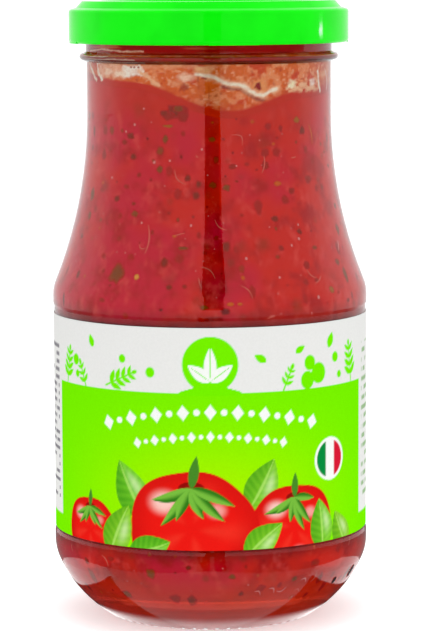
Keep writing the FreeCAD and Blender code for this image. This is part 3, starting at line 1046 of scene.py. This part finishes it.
def floor_reflection(look, x, y, distance):
    plus, times, less, ramp = look.plus, look.times, look.less, look.ramp
    across = look.math("ABSOLUTE", x)
    sides = [look.math("POWER", side, 1.25) for side in (across, look.math("ABSOLUTE", y))]
    corner = look.math("POWER", plus(*sides), 0.8)
    plate = ramp(corner, PLATE_EDGE + PLATE_SOFT, PLATE_EDGE - PLATE_SOFT)
    inside = ramp(across, UNDER_HALF + UNDER_SOFT, UNDER_HALF - UNDER_SOFT)
    under = times(inside, ramp(y, -0.0255, -0.0245))
    side = times(less(1.0, inside), ramp(y, -0.03, -0.026))
    bright = plus(0.6, times(side, 0.6))
    through_base = times(look.ray("Is Transmission Ray"), ramp(distance, 0.026, 0.024))
    shaded = times(under, plus(0.04, through_base))
    foot_light = times(look.band(distance, *FOOT_RING, 0.0015), 1.7)
    near = plus(times(bright, less(1.0, under)), plus(shaded, foot_light))
    # Beyond the plate a dim gap with two posts, and then the tent's floor with a dark strip in front
    degrees = bearing(look, x, y)
    posts = plus(look.band(degrees, -8.2, -0.6, 0.3), look.band(degrees, 2.0, 8.8, 0.3))
    gap = times(0.27, less(1.0, posts))
    front = ramp(look.math("ABSOLUTE", degrees), 120.0, 90.0)
    strip = times(look.band(distance, 4.35, 5.7, 0.1), front, 0.85, look.ray("Is Glossy Ray"))
    far = times(surround(look, x, y), less(1.0, strip))
    beyond = ramp(distance, 0.2, 0.3)
    outer = plus(times(gap, less(1.0, beyond)), times(far, beyond))
    return plus(times(near, plate), times(outer, less(1.0, plate)))


# How brightly the table under the jar is lit from below, where 1 is white
PLATE_LIGHT = 0.36
PAPER_WHITE = 0.88
PAPER_GLOW = 0.46


def floor_material():
    """Pale paper that shows white to the camera and keeps the jar's shadow."""
    look = Surface("pale_floor", Roughness=0.9, Specular_IOR_Level=0.0, Emission_Color=(1, 1, 1, 1))
    camera = look.ray("Is Camera Ray")
    plain = look.math("MAXIMUM", camera, look.math("GREATER_THAN", look.ray("Diffuse Depth"), 0.5))
    look.paint(look.grey(look.times(plain, PAPER_WHITE)))
    x, y, _ = look.axes()
    distance = look.math("POWER", look.plus(look.times(x, x), look.times(y, y)), 0.5)
    mirrored = look.times(floor_reflection(look, x, y, distance), look.less(1.0, plain))
    lit_plate = look.times(look.ramp(distance, 0.16, 0.07), PLATE_LIGHT, look.less(plain, camera))
    glow = look.plus(look.times(camera, PAPER_GLOW), mirrored, lit_plate)
    look.feed(look.shader.inputs["Emission Strength"], glow)
    return look.material


# The dark gap in the tent that the camera looks through: how far back it is, how far to the right,
# and its outline as rise and half width in shares of that distance
GAP_BACK = 0.78
GAP_ASIDE = 0.041
GAP_OUTLINE = ((0.04, 0.13), (0.12, 0.12), (0.56, 0.125), (0.85, 0.17), (1.0, 0.25), (1.3, 0.25))
# The small lamp that glints on the lid, and the card under it that keeps it off the glass:
# distance, half width, foot and head in metres, and strength
SPOT_BEARING = math.radians(101.5)
SPOT_CARDS = {
    "spot_card": (0.5, 0.02, 0.1308, 0.1328, 60.0),
    "spot_screen": (0.25, 0.03, 0.09, 0.1345, 0.9),
}
FLOOR_HALF = 60.0


def make_stage():
    corners = [(x * FLOOR_HALF, y * FLOOR_HALF, 0) for x, y in ((-1, -1), (1, -1), (1, 1), (-1, 1))]
    stage_plane("floor", corners, floor_material())
    outline = [*GAP_OUTLINE, *((rise, -half) for rise, half in GAP_OUTLINE[::-1])]
    gap = [(GAP_ASIDE + half * GAP_BACK, -GAP_BACK, rise * GAP_BACK) for rise, half in outline]
    dark = Surface("dark_gap", (0, 0, 0), Roughness=1.0, Specular_IOR_Level=0.0)
    hidden = ("camera", "diffuse", "shadow")
    stage_plane("camera_gap", gap, dark.material, hidden)
    for name, (distance, half, foot, head, strength) in SPOT_CARDS.items():
        ends = []
        for side in (-half, half):
            x = distance * math.sin(SPOT_BEARING) + side * math.cos(SPOT_BEARING)
            ends.append((x, side * math.sin(SPOT_BEARING) - distance * math.cos(SPOT_BEARING)))
        corners = [(*ends[0], foot), (*ends[1], foot), (*ends[1], head), (*ends[0], head)]
        lamp = Surface(name + "_look", (0, 0, 0), Emission_Strength=strength, Emission_Color=(1, 1, 1, 1))
        stage_plane(name, corners, lamp.material, (*hidden, "transmission"))


def make_world():
    """A white tent, brighter in front of the jar than behind it."""
    world = bpy.data.worlds.new("tent")
    world.use_nodes = True
    look = Nodes(world.node_tree)
    background = look.tree.nodes["Background"]
    background.inputs["Color"].default_value = (1, 1, 1, 1)
    x, y, _ = look.axes(look.add("ShaderNodeTexCoord").outputs["Generated"])
    sides = (look.ramp(x, 0.2, 1.0, 0.0, 0.25), look.ramp(x, -0.2, -1.0, 0.0, 0.1))
    lighting = look.plus(look.ramp(y, 0.3, -1.0, 0.72, 1.0), *sides)
    lit = look.math("GREATER_THAN", look.ray("Diffuse Depth"), 0.5)
    mirrored = look.math("MAXIMUM", surround(look, x, y), look.ray("Is Camera Ray"))
    strength = look.plus(look.times(lighting, lit), look.times(mirrored, look.less(1.0, lit)))
    look.feed(background.inputs["Strength"], strength)
    scene.world = world


def make_top_light():
    data = bpy.data.lights.new("top_light", "AREA")
    data.shape = "RECTANGLE"
    data.size = data.size_y = 0.9
    data.energy = 3.6
    lamp = link("top_light", data)
    lamp.location = (0, -0.1, 1.2)
    towards = Vector((0, 0, jar_height / 2)) - lamp.location
    lamp.rotation_euler = towards.to_track_quat("-Z", "Y").to_euler()
    lamp.visible_glossy = False


make_camera()
make_stage()
make_world()
make_top_light()
scene.view_settings.view_transform = "Standard"
